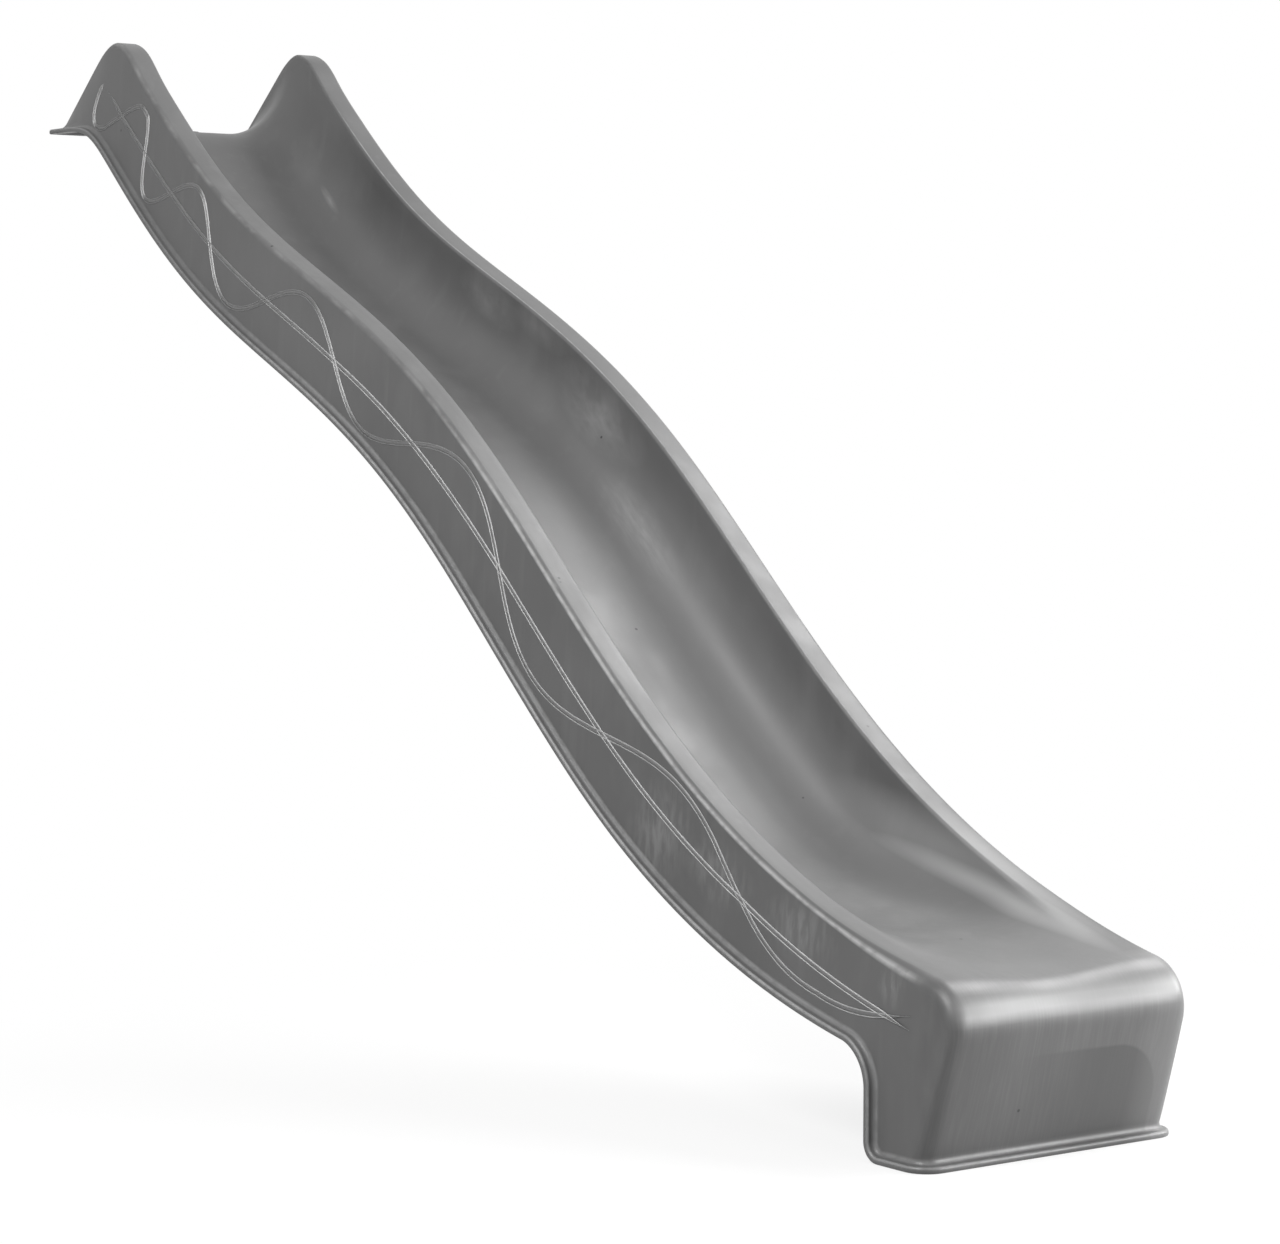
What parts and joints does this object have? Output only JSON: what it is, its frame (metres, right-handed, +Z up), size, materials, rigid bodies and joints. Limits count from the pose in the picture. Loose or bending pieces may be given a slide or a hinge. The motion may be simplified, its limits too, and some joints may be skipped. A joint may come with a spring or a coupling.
{
  "type": "water slide",
  "caption": "Grey moulded garden slide with a wavy course, raised side ears, box-shaped foot, screwed lip and a garden hose inlet.",
  "frame": {"origin": "midway between the two lip screws, on the underside of the lip, which lies on the platform", "axes": "+X downhill and level, +Y across the slide, +Z up; the ground is 1.5 m below the origin"},
  "size_m": [2.5077, 0.47, 1.6516],
  "materials": {
    "shell_plastic": "satin moulded polyethylene",
    "cover_plastic": "satin",
    "fitting_plastic": "satin moulded polyamide",
    "screw_steel": "stainless",
    "rubber": "matt"
  },
  "bodies": {
    "slide": {"slide_shell": "shell_plastic", "lip_screws": "screw_steel", "lip_washers": "screw_steel", "screw_covers": "cover_plastic", "water_nozzle": "fitting_plastic", "nozzle_seal": "rubber", "backing_seal": "rubber", "backing_washer": "cover_plastic", "lock_nut": "fitting_plastic", "hose_tail": "fitting_plastic", "union_seal": "rubber"},
    "swivel": {"swivel_nut": "fitting_plastic"}
  },
  "joints": [
    {"name": "swivel_turn", "type": "hinge", "parent": "slide", "child": "swivel", "pos_m": [0.06598, 0, -0.02508], "axis": [0.1268, 0, 0.9919], "continuous": true}
  ]
}
